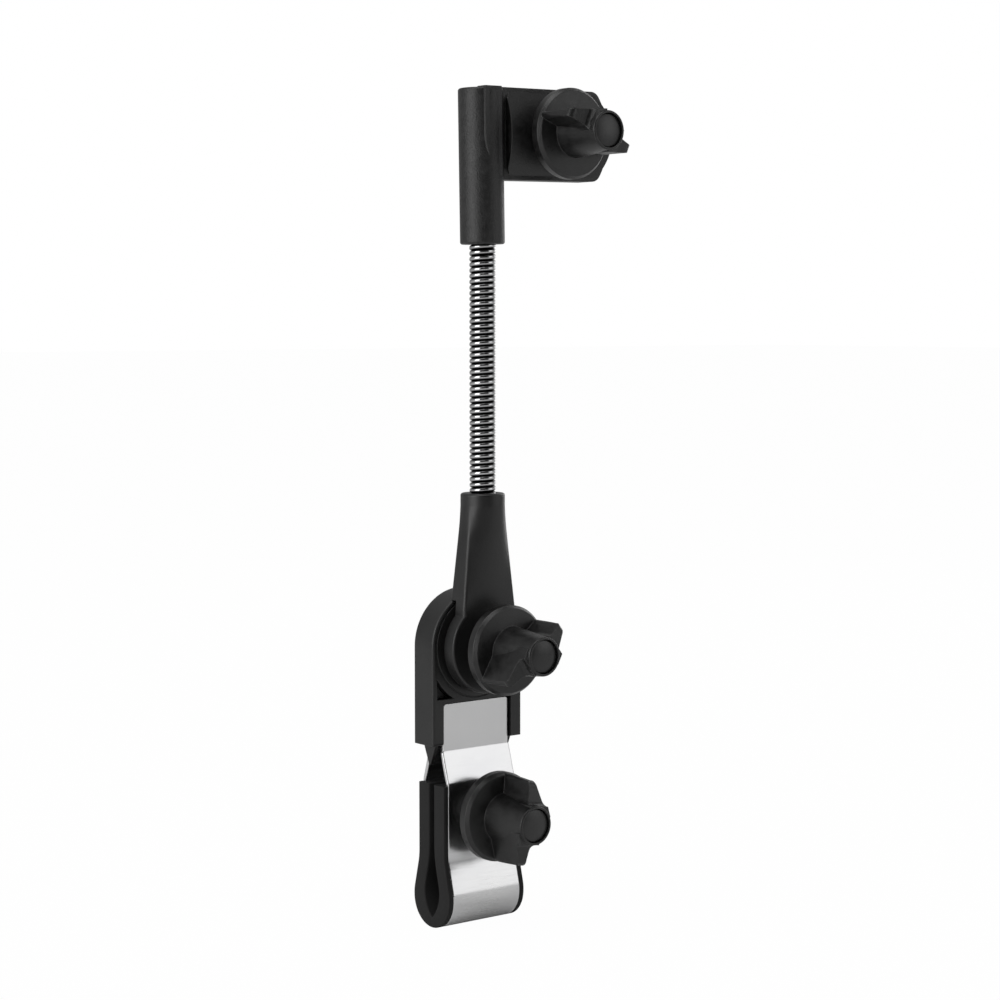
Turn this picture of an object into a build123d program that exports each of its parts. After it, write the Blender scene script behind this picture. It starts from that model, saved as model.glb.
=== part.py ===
from build123d import *
import os
from math import asin, atan2, cos, degrees, radians, sin, sqrt, tan

# Clip-on gooseneck holder: a strap clamp for a round pole, a bracket with a tilting arm,
# a bendable neck and a head with a thumb knob that grips an airbrush hanger.
# Millimetres. X is across the strap (the axis of the clamped pole), -Y is the knob side,
# +Z is up. The origin is the centre of the strap's loop.

# --- strap and rubber liner ---------------------------------------------------
STRAP_WIDTH = 28.2
STRAP_TOP_WIDTH = 27.4       # above the slant
STRAP_THICK = 1.4
LOOP_RADIUS = 9.2            # centreline of the round loop
LOOP_SINK = 0.6              # the loop is this much longer than round, below its centre
LOOP_WRAP = 14.0             # degrees that the loop goes on past its widest point
LOOP_BLEND = 20.0            # radius that brings each leg back to upright
FLAT_HALF = 6.3              # centreline of each leg beside the liner, from the mid plane
TOP_HALF = 3.1               # centreline of each leg in the bracket, from the mid plane
SLANT_START = 38.8           # height where the legs bend inwards
SLANT_END = 49.4             # height where they are upright again
SLANT_BEND = 2.5
STRAP_TOP = 65.3
LINER_WIDTH = 31.8
LINER_TOP = 38.1
RIM_GAP = 0.05               # between the strap's edges and the liner's rims
SLIT_HALF = 1.3              # half the gap between the liner's two leaves
SLIT_BOTTOM = 18.0
HOLLOW_HALF = 4.0            # half the widest gap, where the pole sits
HOLLOW_WIDEST = 1.5
HOLLOW_BOTTOM = -7.0
SPLIT_GAP = 0.05             # each half stops this far short of the mid plane
SPREAD_SLOT = 1.6            # extra height of the front leg's hole, for its swing

# --- fasteners ----------------------------------------------------------------
BOLT_RADIUS = 3.0            # M6
BOLT_FIT = 0.05              # radial clearance in the threaded inserts
BOLT_HOLE = 3.3              # radius of the plain holes
BOLT_REACH = 11.0            # how far a bolt stands into its knob at rest
HEX_FLATS = 10.0
HEX_HEIGHT = 4.0
DOME_RADIUS = 6.5
DOME_HEIGHT = 2.6
SCREW_RADIUS = 1.2
SCREW_HEAD_RADIUS = 2.4
SCREW_HEAD = 1.3
SCREW_SPACING = 16.0
SCREW_HEIGHT = 59.0
FACE_GAP = 0.05              # between faces that slide or turn on each other

# --- bracket ------------------------------------------------------------------
BRACKET_WIDTH = 37.5
BRACKET_FRONT = -4.9
BRACKET_BACK = 5.9
BRACKET_BOTTOM = 51.7
WINDOW_WIDTH = 28.6
WINDOW_GAP = 0.4             # between the strap's top edge and the ledge
LEDGE = 1.4
POCKET_WALL = 1.7
POCKET_DEPTH = 3.2
BOSS_RADIUS = 19.8           # the pockets end at this distance from the pivot
PIVOT_HEIGHT = 84.2
RING_RADIUS = 17.6           # groove round the boss
RING_WIDTH = 0.6
RING_DEPTH = 0.5
CHEEK_INSIDE = 14.6          # from the middle to each cheek beside the strap
CHEEK_THICK = 1.3
CHEEK_LENGTH = 6.9

# --- arm ----------------------------------------------------------------------
NECK_Y = -7.6                # the neck's axis, in front of the strap's mid plane
ARM_TOP = 135.5
ARM_TOP_RADIUS = 7.4
ARM_DISC_RADIUS = 15.5
ARM_DISC_FRONT = -11.8
FRICTION_THICK = 1.9
FRICTION_RADIUS = 13.5
SHANK_WIDTH = 21.8
SHANK_DEPTH = 8.4
SHANK_FLAT = 97.0            # height where the round top has become the flat shank
ARM_CLEARANCE = 0.35         # between the shank's end and the bracket's arch

# --- neck ---------------------------------------------------------------------
NECK_RADIUS = 4.4
NECK_TURNS = 44
SEGMENT_TURNS = 4
NECK_TOP = 217.6
SOCKET_DEPTH = 9.0
SOCKET_MOUTH = 0.6           # bevel at each socket's mouth, which the bent neck turns into
CORE_RADIUS = 2.5
CORE_BORE = 1.3
BEND_LIMIT = 12.0            # degrees at each joint of the neck
BEND_SPARE = 2.2             # degrees
JOINT_GAP = 0.12

# --- head ---------------------------------------------------------------------
HEAD_TOP = 268.5
HEAD_RADIUS = 7.4
FLAG_HALF = 15.1
FLAG_FRONT = -11.6
FLAG_BACK = -4.2
FLAG_END_RADIUS = 24.2
PAD_START = 7.2
PAD_RISE = 3.4
HOLDER_X = 27.4
HOLDER_HEIGHT = 253.8
HEAD_LEAN = 1.0              # degrees, top towards -X, about the neck's top
ROOT_LEFT = -3.5
ROOT_RIGHT = 3.3
ROOT_FRONT = -14.75

# --- knobs --------------------------------------------------------------------
FLANGE_RADIUS = 15.0
FLANGE_RIM = 3.0
FLANGE_BEVEL = 1.2
FLANGE_HEIGHT = 4.8
HUB_ROOT_RADIUS = 8.2
HUB_END_RADIUS = 6.4
KNOB_LENGTH = 21.8
WING_TIP_RADIUS = 1.3
WING_TIP_CENTRE = 13.4       # from the knob's axis
WING_ROOT_RADIUS = 7.0       # where the wings meet the hub, seen from the end
WING_FILLET = 3.0
WING_FOOT = 2.6
WING_BASE = 14.9             # reach at the foot
WING_SHOULDER = 15.0
WING_SHOULDER_REACH = 14.0
WING_TOP = 17.5
WING_TOP_REACH = 12.0
WING_NECK = 18.4
WING_NECK_REACH = 7.6
CAP_RADIUS = 5.3
CAP_GAP = 0.35
CAP_DEPTH = 2.4
CAP_SUNK = 0.1               # the crown of the cap lies this far inside the hub's end
CAP_CROWN = 0.7
BORE_SPARE = 1.0             # the bore goes on this far past the bolt's tip
REAR_BOSS_RADIUS = 6.6
REAR_BOSS = 2.4
INSERT_RADIUS = 4.6
INSERT_LENGTH = 13.0
SPACER_RADIUS = 7.0
CLAMP_FLANGE_Y = -14.2
PIVOT_FLANGE_Y = -18.6
HOLDER_FLANGE_Y = -18.6
CLAMP_WINGS = 81.0           # degrees from +X towards +Z
PIVOT_WINGS = 38.0
HOLDER_WINGS = -24.0
CLAMP_HEIGHT = 28.0

# --- worked out from the sizes above ------------------------------------------
WEB_HALF = TOP_HALF - STRAP_THICK / 2 - FACE_GAP
WINDOW_TOP = STRAP_TOP + WINDOW_GAP
STRAP_FRONT = -FLAT_HALF - STRAP_THICK / 2
DISC_BACK = BRACKET_FRONT - FRICTION_THICK - 2 * FACE_GAP
SLANT_ANGLE = degrees(atan2(FLAT_HALF - TOP_HALF, SLANT_END - SLANT_START))
PITCH = (NECK_TOP - ARM_TOP) / NECK_TURNS
SEGMENTS = NECK_TURNS // SEGMENT_TURNS
PAD_FRONT = FLAG_FRONT - PAD_RISE


def save(name, shape):
    export_step(shape, os.path.join("parts", name + ".step"))


def rod(radius, front, back, x, z):
    """Cylinder along Y between two depths."""
    return Pos(x, (front + back) / 2, z) * Rot(90, 0, 0) * Cylinder(radius, back - front)


def slab(sketch, front, back):
    """A front view (X, Z) given thickness along Y."""
    return Pos(0, back, 0) * extrude(Plane.XZ * sketch, amount=back - front)


def across(sketch, width):
    """A side view (Y, Z) given width along X, centred."""
    return extrude(Plane.YZ * sketch, amount=width / 2, both=True)


def box(x0, x1, y0, y1, z0, z1):
    size = (x1 - x0, y1 - y0, z1 - z0)
    return Pos((x0 + x1) / 2, (y0 + y1) / 2, (z0 + z1) / 2) * Box(*size)


# --- strap clamp --------------------------------------------------------------

def leg_steps(top):
    """Bends and runs of one leg's centreline, from the loop's bottom up to a height."""
    wrap = radians(LOOP_WRAP)
    slope = LOOP_RADIUS * cos(wrap) - FLAT_HALF - LOOP_BLEND * (1 - cos(wrap))
    first_run = slope / sin(wrap)
    flat_start = LOOP_RADIUS * sin(wrap) + first_run * cos(wrap) + LOOP_BLEND * sin(wrap)
    steps = [("bend", -90, LOOP_RADIUS), ("run", LOOP_SINK), ("bend", -LOOP_WRAP, LOOP_RADIUS)]
    steps += [("run", first_run), ("bend", LOOP_WRAP, LOOP_BLEND)]
    if top <= SLANT_START:
        return steps + [("run", top - flat_start)]
    setback = SLANT_BEND * tan(radians(SLANT_ANGLE / 2))
    slant = (FLAT_HALF - TOP_HALF) / sin(radians(SLANT_ANGLE))
    steps += [("run", SLANT_START - setback - flat_start), ("bend", -SLANT_ANGLE, SLANT_BEND)]
    steps += [("run", slant - 2 * setback), ("bend", SLANT_ANGLE, SLANT_BEND)]
    return steps + [("run", top - SLANT_END - setback)]


def leg_edges(top, offset):
    """Edges of a leg's side view, a distance outside its centreline."""
    heading = 180.0
    point = Vector(0, -LOOP_RADIUS - LOOP_SINK - offset, 0)
    edges = []
    for step in leg_steps(top):
        if step[0] == "run":
            end = point + Vector(step[1], 0, 0).rotate(Axis.Z, heading)
            edges.append(Edge.make_line(point, end))
        else:
            turn, radius = step[1], step[2]
            side = 1 if turn > 0 else -1
            left = Vector(0, 1, 0).rotate(Axis.Z, heading)
            centre = point + left * (side * radius - offset)
            spoke = point - centre
            middle = centre + spoke.rotate(Axis.Z, turn / 2)
            end = centre + spoke.rotate(Axis.Z, turn)
            edges.append(Edge.make_three_point_arc(point, middle, end))
            heading += turn
        point = end
    return edges


def close_outline(first, second):
    """Face between two chains of edges that start side by side and end side by side."""
    start = Edge.make_line(first[0] @ 0, second[0] @ 0)
    end = Edge.make_line(first[-1] @ 1, second[-1] @ 1)
    return make_face(first + [end] + second + [start])


def front_half(shape):
    """The part of a shape in front of the mid plane, short of it by the split gap."""
    return shape & box(-50, 50, -50, -SPLIT_GAP, -50, 400)


def bolt_slot(front, back):
    """Upright slot that lets the front leg swing round the clamp bolt."""
    slot = Rot(0, 0, 90) * SlotCenterToCenter(SPREAD_SLOT, 2 * BOLT_HOLE)
    slot = Pos(0, CLAMP_HEIGHT + SPREAD_SLOT / 2) * slot
    return slab(slot, front, back)


def strap_leg():
    """Front leg of the strap, with rounded top corners."""
    outer = leg_edges(STRAP_TOP, STRAP_THICK / 2)
    inner = leg_edges(STRAP_TOP, -STRAP_THICK / 2)
    leg = front_half(across(close_outline(outer, inner), STRAP_WIDTH)) & strap_outline()
    corners = leg.edges().filter_by(Axis.Y).group_by(Axis.Z)[-1]
    return fillet(corners, 1.0)


def strap_outline():
    """Front view of the strip: full width up to the slant's end, narrower above it."""
    full, narrow = STRAP_WIDTH / 2, STRAP_TOP_WIDTH / 2
    step = full - narrow
    points = [(-full, -50), (-full, SLANT_END - step), (-narrow, SLANT_END), (-narrow, STRAP_TOP + 1)]
    points += [(-x, z) for x, z in reversed(points)]
    return slab(make_face(Polyline(*points, close=True)), -50, 50)


def liner_leaf():
    """Front leaf of the rubber liner: the pole's hollow inside, a rim round each edge of the strap."""
    outer = leg_edges(LINER_TOP, -STRAP_THICK / 2)
    bottom = outer[0] @ 0
    low = Vector(0, HOLLOW_BOTTOM, 0)
    wide = Vector(-HOLLOW_HALF, HOLLOW_WIDEST, 0)
    narrow = Vector(-SLIT_HALF, SLIT_BOTTOM, 0)
    hollow = Edge.make_spline([low, wide, narrow], tangents=[Vector(-1, 0.75, 0), Vector(0, 1, 0)])
    slit_top = Vector(-SLIT_HALF, LINER_TOP, 0)
    inner = [Edge.make_line(bottom, low), hollow, Edge.make_line(narrow, slit_top)]
    top = Edge.make_line(outer[-1] @ 1, slit_top)
    leaf = across(make_face(outer + [top] + inner), LINER_WIDTH)
    rims = across(close_outline(leg_edges(LINER_TOP, STRAP_THICK / 2), outer), LINER_WIDTH)
    strap_side = STRAP_WIDTH / 2 + RIM_GAP
    rims -= across(close_outline(leg_edges(LINER_TOP + 1, STRAP_THICK / 2 + 1), outer), 2 * strap_side)
    return front_half(leaf + rims)


def make_clamp():
    leg = strap_leg()
    leaf = liner_leaf()
    swing = bolt_slot(-20, 0)
    hole = rod(BOLT_HOLE, 0, 20, 0, CLAMP_HEIGHT)
    back_leg = mirror(leg, Plane.XZ) - hole
    for x in (-SCREW_SPACING / 2, SCREW_SPACING / 2):
        back_leg -= rod(SCREW_RADIUS, 0, 20, x, SCREW_HEIGHT)
    save("strap_front", leg - swing)
    save("strap_back", back_leg)
    save("liner_front", leaf - swing)
    save("liner_back", mirror(leaf, Plane.XZ) - hole)
    tip = CLAMP_FLANGE_Y - BOLT_REACH
    shank = rod(BOLT_RADIUS, tip, -STRAP_FRONT, 0, CLAMP_HEIGHT)
    head = rod(DOME_RADIUS, -STRAP_FRONT, -STRAP_FRONT + DOME_HEIGHT, 0, CLAMP_HEIGHT)
    head = fillet(head.edges().group_by(Axis.Y)[-1], DOME_HEIGHT * 0.8)
    save("clamp_bolt", chamfer((shank + head).edges().group_by(Axis.Y)[0], 0.6))
    spacer_back = STRAP_FRONT - FACE_GAP
    save("clamp_spacer", spacer(CLAMP_FLANGE_Y + REAR_BOSS, spacer_back, 0, CLAMP_HEIGHT))


# --- bracket ------------------------------------------------------------------

def make_bracket():
    """Arched block: front window for one strap leg, closed slot for the other."""
    half = BRACKET_WIDTH / 2
    arch = Pos(0, PIVOT_HEIGHT) * Circle(half)
    legs = Rectangle(BRACKET_WIDTH, PIVOT_HEIGHT - BRACKET_BOTTOM)
    legs = Pos(0, (BRACKET_BOTTOM + PIVOT_HEIGHT) / 2) * legs
    body = slab(arch + legs, BRACKET_FRONT, BRACKET_BACK)
    body = fillet(body.edges().filter_by(Plane.XZ), 0.9)
    window_half = WINDOW_WIDTH / 2
    body -= box(-window_half, window_half, BRACKET_FRONT - 1, -WEB_HALF, BRACKET_BOTTOM - 1, WINDOW_TOP)
    slot_half = STRAP_TOP_WIDTH / 2 + FACE_GAP
    slot_back = TOP_HALF + STRAP_THICK / 2
    slot_front = TOP_HALF - STRAP_THICK / 2
    body -= box(-slot_half, slot_half, slot_front, slot_back, BRACKET_BOTTOM - 1, STRAP_TOP)
    pocket_left = -half + POCKET_WALL
    pocket_floor = WINDOW_TOP + LEDGE
    pocket = Rectangle(-2 * pocket_left, PIVOT_HEIGHT - pocket_floor)
    pocket = Pos(0, (PIVOT_HEIGHT + pocket_floor) / 2) * pocket
    pocket -= Pos(0, PIVOT_HEIGHT) * Circle(BOSS_RADIUS)
    body -= slab(pocket, BRACKET_FRONT - 1, BRACKET_FRONT + POCKET_DEPTH)
    ring_end = BRACKET_FRONT + RING_DEPTH
    ring = rod(RING_RADIUS, BRACKET_FRONT - 1, ring_end, 0, PIVOT_HEIGHT)
    body -= ring - rod(RING_RADIUS - RING_WIDTH, BRACKET_FRONT - 2, ring_end + 1, 0, PIVOT_HEIGHT)
    body += cheeks()
    body -= rod(BOLT_HOLE, -10, 10, 0, PIVOT_HEIGHT)
    body -= hex_prism(HEX_FLATS + 0.2, BRACKET_BACK - HEX_HEIGHT, BRACKET_BACK + 1, 0, PIVOT_HEIGHT)
    for x in (-SCREW_SPACING / 2, SCREW_SPACING / 2):
        body -= rod(SCREW_RADIUS, -1, 10, x, SCREW_HEIGHT)
        body -= rod(SCREW_HEAD_RADIUS + 0.1, BRACKET_BACK - SCREW_HEAD, 10, x, SCREW_HEIGHT)
    save("bracket", body)


def cheeks():
    """Two pointed cheeks under the bracket, beside the strap's edges, which guide its legs in."""
    top = BRACKET_BOTTOM + 1.0
    tip = BRACKET_BOTTOM - CHEEK_LENGTH
    side = make_face(Polyline((-2.5, top), (-2.5, BRACKET_BOTTOM), (0.4, tip), (1.2, tip),
                              (4.2, BRACKET_BOTTOM), (4.2, top), close=True))
    cheek = Pos(CHEEK_INSIDE, 0, 0) * extrude(Plane.YZ * side, amount=CHEEK_THICK)
    return cheek + mirror(cheek, Plane.YZ)


def hex_prism(flats, front, back, x, z):
    outline = Pos(x, z) * RegularPolygon(flats / 2, 6, major_radius=False)
    return slab(outline, front, back)


def make_bracket_fasteners():
    tip = PIVOT_FLANGE_Y - BOLT_REACH
    shank = rod(BOLT_RADIUS, tip, BRACKET_BACK - HEX_HEIGHT, 0, PIVOT_HEIGHT)
    head = hex_prism(HEX_FLATS, BRACKET_BACK - HEX_HEIGHT, BRACKET_BACK - 0.2, 0, PIVOT_HEIGHT)
    save("pivot_bolt", chamfer((shank + head).edges().group_by(Axis.Y)[0], 0.6))
    screws = []
    for x in (-SCREW_SPACING / 2, SCREW_SPACING / 2):
        screw = rod(SCREW_RADIUS, -0.8, BRACKET_BACK - SCREW_HEAD, x, SCREW_HEIGHT)
        screw += rod(SCREW_HEAD_RADIUS, BRACKET_BACK - SCREW_HEAD, BRACKET_BACK - 0.1, x, SCREW_HEIGHT)
        slot_bottom, slot_top = SCREW_HEIGHT - 0.3, SCREW_HEIGHT + 0.3
        screw -= box(x - 1.6, x + 1.6, BRACKET_BACK - 0.7, BRACKET_BACK, slot_bottom, slot_top)
        screws.append(screw)
    save("strap_screws", Compound(screws))
    ring_back = BRACKET_FRONT - FACE_GAP
    ring = rod(FRICTION_RADIUS, ring_back - FRICTION_THICK, ring_back, 0, PIVOT_HEIGHT)
    save("friction_washer", ring - rod(BOLT_HOLE, -20, 0, 0, PIVOT_HEIGHT))
    disc_front = ARM_DISC_FRONT - FACE_GAP
    save("pivot_spacer", spacer(PIVOT_FLANGE_Y + REAR_BOSS, disc_front, 0, PIVOT_HEIGHT))


# --- arm ----------------------------------------------------------------------

def make_arm():
    """Round socket that flattens into a shank and ends in the pivot disc."""
    top = Plane(origin=(0, NECK_Y, ARM_TOP)) * Circle(ARM_TOP_RADIUS)
    neck = Plane(origin=(0, NECK_Y, ARM_TOP - 4)) * Circle(ARM_TOP_RADIUS)
    low = Plane(origin=(0, NECK_Y, SHANK_FLAT)) * RectangleRounded(SHANK_WIDTH, SHANK_DEPTH, 1.2)
    shank = loft([neck, low], ruled=True) + extrude(neck, amount=4)
    shank = fillet(shank.edges().group_by(Axis.Z)[-1], 0.8)
    disc = rod(ARM_DISC_RADIUS, ARM_DISC_FRONT, DISC_BACK, 0, PIVOT_HEIGHT)
    disc = fillet(disc.edges().group_by(Axis.Y)[0], 0.7)
    stub = extrude(low, amount=PIVOT_HEIGHT - SHANK_FLAT)
    swept = BRACKET_WIDTH / 2 + ARM_CLEARANCE
    body = shank + disc + stub
    body -= rod(swept, DISC_BACK, 10, 0, PIVOT_HEIGHT)
    body -= rod(BOLT_HOLE, -30, 10, 0, PIVOT_HEIGHT)
    body -= Pos(0, NECK_Y, ARM_TOP) * Rot(180, 0, 0) * socket()
    save("arm", body)


def socket():
    """Room for the end of the neck, with a bevelled mouth; the mouth is at the origin."""
    mouth_radius = NECK_RADIUS + SOCKET_MOUTH
    hole = Pos(0, 0, SOCKET_DEPTH / 2) * Cylinder(NECK_RADIUS, SOCKET_DEPTH)
    return hole + Pos(0, 0, SOCKET_MOUTH / 2) * Cone(mouth_radius, NECK_RADIUS, SOCKET_MOUTH)


# --- neck ---------------------------------------------------------------------

def coil_section(bottom, top, turns):
    """Half section (radius, height) of a close-wound coil, flush at the outside and clear of the core."""
    wire = PITCH / 2
    centre = NECK_RADIUS - wire
    face = Pos((CORE_RADIUS + centre) / 2, (bottom + top) / 2) * Rectangle(centre - CORE_RADIUS, top - bottom)
    for turn in range(turns):
        face += Pos(centre, bottom + (turn + 0.5) * PITCH) * Circle(wire)
    return face - Pos(CORE_RADIUS / 2, (bottom + top) / 2) * Rectangle(CORE_RADIUS, top - bottom)


def core_section(bottom, top):
    wall = Rectangle(CORE_RADIUS - CORE_BORE, top - bottom)
    return Pos((CORE_BORE + CORE_RADIUS) / 2, (bottom + top) / 2) * wall


def bend_wedge(height, way):
    """Half section of what a joint of the neck needs clear, above or below its centre."""
    reach = NECK_RADIUS + 1
    rise = reach * tan(radians((BEND_LIMIT + BEND_SPARE) / 2)) + JOINT_GAP
    points = [(0, height - way * PITCH), (0, height + way * JOINT_GAP)]
    points += [(reach, height + way * rise), (reach, height - way * PITCH)]
    return make_face(Polyline(*points, close=True))


def turned(section):
    """A half section (radius, height) turned round the neck's axis."""
    return Pos(0, NECK_Y, 0) * revolve(Plane.XZ * section, Axis.Z)


def make_neck():
    """The gooseneck: an outer coil and an inner wire, in segments that tilt on each other."""
    length = SEGMENT_TURNS * PITCH
    coil = coil_section(0, length, SEGMENT_TURNS) - bend_wedge(0, 1) - bend_wedge(length, -1)
    core = core_section(0, length) - bend_wedge(0, 1) - bend_wedge(length, -1)
    coil_solid = turned(coil)
    core_solid = turned(core)
    for number in range(SEGMENTS):
        place = Pos(0, 0, ARM_TOP + number * length)
        save(f"neck_coil_{number + 1:02d}", place * coil_solid)
        save(f"neck_core_{number + 1:02d}", place * core_solid)
    coil_end, core_end = neck_end(ARM_TOP - SOCKET_DEPTH, ARM_TOP, ARM_TOP, -1)
    save("neck_coil_lower_end", coil_end)
    save("neck_core_lower_end", core_end)
    coil_end, core_end = neck_end(NECK_TOP, NECK_TOP + SOCKET_DEPTH, NECK_TOP, 1)
    save("neck_coil_upper_end", lean(coil_end))
    save("neck_core_upper_end", lean(core_end))


def neck_end(bottom, top, joint, way):
    """Coil and wire inside a socket, cut back at the joint beside it."""
    tube = Pos((CORE_RADIUS + NECK_RADIUS) / 2, (bottom + top) / 2)
    tube = tube * Rectangle(NECK_RADIUS - CORE_RADIUS, top - bottom)
    wedge = bend_wedge(joint, way)
    return turned(tube - wedge), turned(core_section(bottom, top) - wedge)


# --- head ---------------------------------------------------------------------

def make_head():
    """Upright socket with a side plate, whose front pad is curved top to bottom."""
    tube = Pos(0, NECK_Y, (NECK_TOP + HEAD_TOP) / 2) * Cylinder(HEAD_RADIUS, HEAD_TOP - NECK_TOP)
    tube = fillet(tube.edges().filter_by(GeomType.CIRCLE), 0.8)
    end = Pos(HOLDER_X, HOLDER_HEIGHT) * Circle(FLAG_END_RADIUS)
    length = HOLDER_X + FLAG_END_RADIUS
    strip = Pos(length / 2, HOLDER_HEIGHT) * Rectangle(length, 2 * FLAG_HALF)
    flag = slab(strip & (end + Pos(HOLDER_X / 2, HOLDER_HEIGHT) * Rectangle(HOLDER_X, 2 * FLAG_HALF)),
                FLAG_FRONT, FLAG_BACK)
    flag = fillet(flag.edges().filter_by(Axis.Y).group_by(Axis.X)[-1], 4.0)
    pad = pad_block(length - 1.2)
    body = tube + flag + pad + head_root()
    body -= rod(BOLT_HOLE, -40, 10, HOLDER_X, HOLDER_HEIGHT)
    body -= hex_prism(HEX_FLATS + 0.2, FLAG_BACK - HEX_HEIGHT, FLAG_BACK + 1, HOLDER_X, HOLDER_HEIGHT)
    body -= Pos(0, NECK_Y, NECK_TOP) * socket()
    save("holder_head", lean(body))


def lean(shape):
    """Leans a piece of the head about the top of the neck."""
    return Pos(0, 0, NECK_TOP) * Rot(0, -HEAD_LEAN, 0) * Pos(0, 0, -NECK_TOP) * shape


def pad_block(end_x):
    """Raised pad on the plate's front: an arc from edge to edge, ended square at the left."""
    half = FLAG_HALF - 0.6
    low = (FLAG_FRONT + 0.5, HOLDER_HEIGHT - half)
    crest = (PAD_FRONT, HOLDER_HEIGHT)
    high = (FLAG_FRONT + 0.5, HOLDER_HEIGHT + half)
    section = make_face([ThreePointArc(low, crest, high), Line(high, low)])
    pad = Pos(PAD_START, 0, 0) * extrude(Plane.YZ * section, amount=end_x - PAD_START)
    keep = slab(Pos(HOLDER_X, HOLDER_HEIGHT) * Circle(FLAG_END_RADIUS - 1.0), PAD_FRONT - 1, FLAG_BACK)
    return pad & keep


def head_root():
    """Flat-fronted root that joins the plate to the socket, rounded off below."""
    top = HOLDER_HEIGHT + FLAG_HALF
    left_end = HOLDER_HEIGHT - 0.8
    right_end = HOLDER_HEIGHT - FLAG_HALF + 0.6
    arc = ThreePointArc((ROOT_LEFT, left_end), (ROOT_LEFT + 2.5, right_end + 4.9), (ROOT_RIGHT, right_end))
    lines = [Line((ROOT_LEFT, top), (ROOT_LEFT, left_end)), arc]
    lines += [Line((ROOT_RIGHT, right_end), (ROOT_RIGHT, top)), Line((ROOT_RIGHT, top), (ROOT_LEFT, top))]
    outline = make_face(lines)
    return slab(outline, ROOT_FRONT, FLAG_FRONT + 1)


def make_head_fasteners():
    tip = HOLDER_FLANGE_Y - BOLT_REACH
    shank = rod(BOLT_RADIUS, tip, FLAG_BACK - HEX_HEIGHT, HOLDER_X, HOLDER_HEIGHT)
    head = hex_prism(HEX_FLATS, FLAG_BACK - HEX_HEIGHT, FLAG_BACK - 0.2, HOLDER_X, HOLDER_HEIGHT)
    save("holder_bolt", lean(chamfer((shank + head).edges().group_by(Axis.Y)[0], 0.6)))
    pad_face = PAD_FRONT - FACE_GAP
    save("holder_washer", lean(spacer(HOLDER_FLANGE_Y + REAR_BOSS, pad_face, HOLDER_X, HOLDER_HEIGHT)))


# --- knobs --------------------------------------------------------------------

def spacer(front, back, x, z):
    """Round spacer between a knob's rear boss and the face it presses on."""
    ring = rod(SPACER_RADIUS, front + FACE_GAP, back, x, z)
    return ring - rod(BOLT_HOLE, front - 1, back + 1, x, z)


def knob_turning():
    """Flange, hub and rear boss as one turned shape; the flange's back is at height 0."""
    points = [(0, -REAR_BOSS), (REAR_BOSS_RADIUS, -REAR_BOSS), (REAR_BOSS_RADIUS, 0), (FLANGE_RADIUS, 0)]
    points += [(FLANGE_RADIUS, FLANGE_RIM), (FLANGE_RADIUS - 1.0, FLANGE_RIM + FLANGE_BEVEL)]
    points += [(HUB_ROOT_RADIUS, FLANGE_HEIGHT), (HUB_END_RADIUS, KNOB_LENGTH), (0, KNOB_LENGTH)]
    section = make_face(Polyline(*points, close=True))
    return revolve(Plane.XZ * section, Axis.Z)


def wing_plan():
    """One wing seen from the knob's end: straight from hub to tip on one side, hollow on the other."""
    lean_in = asin((WING_ROOT_RADIUS - WING_TIP_RADIUS) / WING_TIP_CENTRE)
    away = Vector(sin(lean_in), -cos(lean_in), 0)
    tip_centre = Vector(WING_TIP_CENTRE, 0, 0)
    hub_low = away * WING_ROOT_RADIUS
    tip_low = tip_centre + away * WING_TIP_RADIUS
    tip_end = tip_centre + Vector(WING_TIP_RADIUS, 0, 0)
    tip_high = tip_centre + Vector(0, WING_TIP_RADIUS, 0)
    rise = WING_TIP_RADIUS + WING_FILLET
    span = WING_ROOT_RADIUS + WING_FILLET
    hollow = Vector(sqrt(span ** 2 - rise ** 2), rise, 0)
    web_end = hollow - Vector(0, WING_FILLET, 0)
    hub_high = hollow * (WING_ROOT_RADIUS / span)
    inward = (web_end + hub_high) * 0.5 - hollow
    web_middle = hollow + inward.normalized() * WING_FILLET
    outline = [Line((0, 0), hub_low), Line(hub_low, tip_low), ThreePointArc(tip_low, tip_end, tip_high)]
    outline += [Line(tip_high, web_end), ThreePointArc(web_end, web_middle, hub_high), Line(hub_high, (0, 0))]
    return make_face(outline)


def wing_side():
    """One wing seen from the side (reach, height), rounded where it turns in to the hub."""
    shoulder = (WING_SHOULDER_REACH, WING_SHOULDER)
    top = (WING_TOP_REACH, WING_TOP)
    neck = (WING_NECK_REACH, WING_NECK)
    crown = (HUB_END_RADIUS, KNOB_LENGTH - 0.8)
    turn = ThreePointArc(shoulder, (WING_SHOULDER_REACH - 0.4, WING_TOP - 0.7), top)
    root = ThreePointArc(neck, (HUB_END_RADIUS + 0.35, WING_NECK + 0.75), crown)
    outline = [Line((0, WING_FOOT), (WING_BASE, WING_FOOT)), Line((WING_BASE, WING_FOOT), shoulder), turn]
    inner_top = (0, KNOB_LENGTH - 0.8)
    outline += [Line(top, neck), root, Line(crown, inner_top), Line(inner_top, (0, WING_FOOT))]
    return make_face(outline)


def wings():
    """Two wings, opposite each other."""
    ear = extrude(wing_plan(), amount=KNOB_LENGTH)
    ear = ear & (Pos(0, 20, 0) * extrude(Plane.XZ * wing_side(), amount=40))
    return ear + Rot(0, 0, 180) * ear


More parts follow.
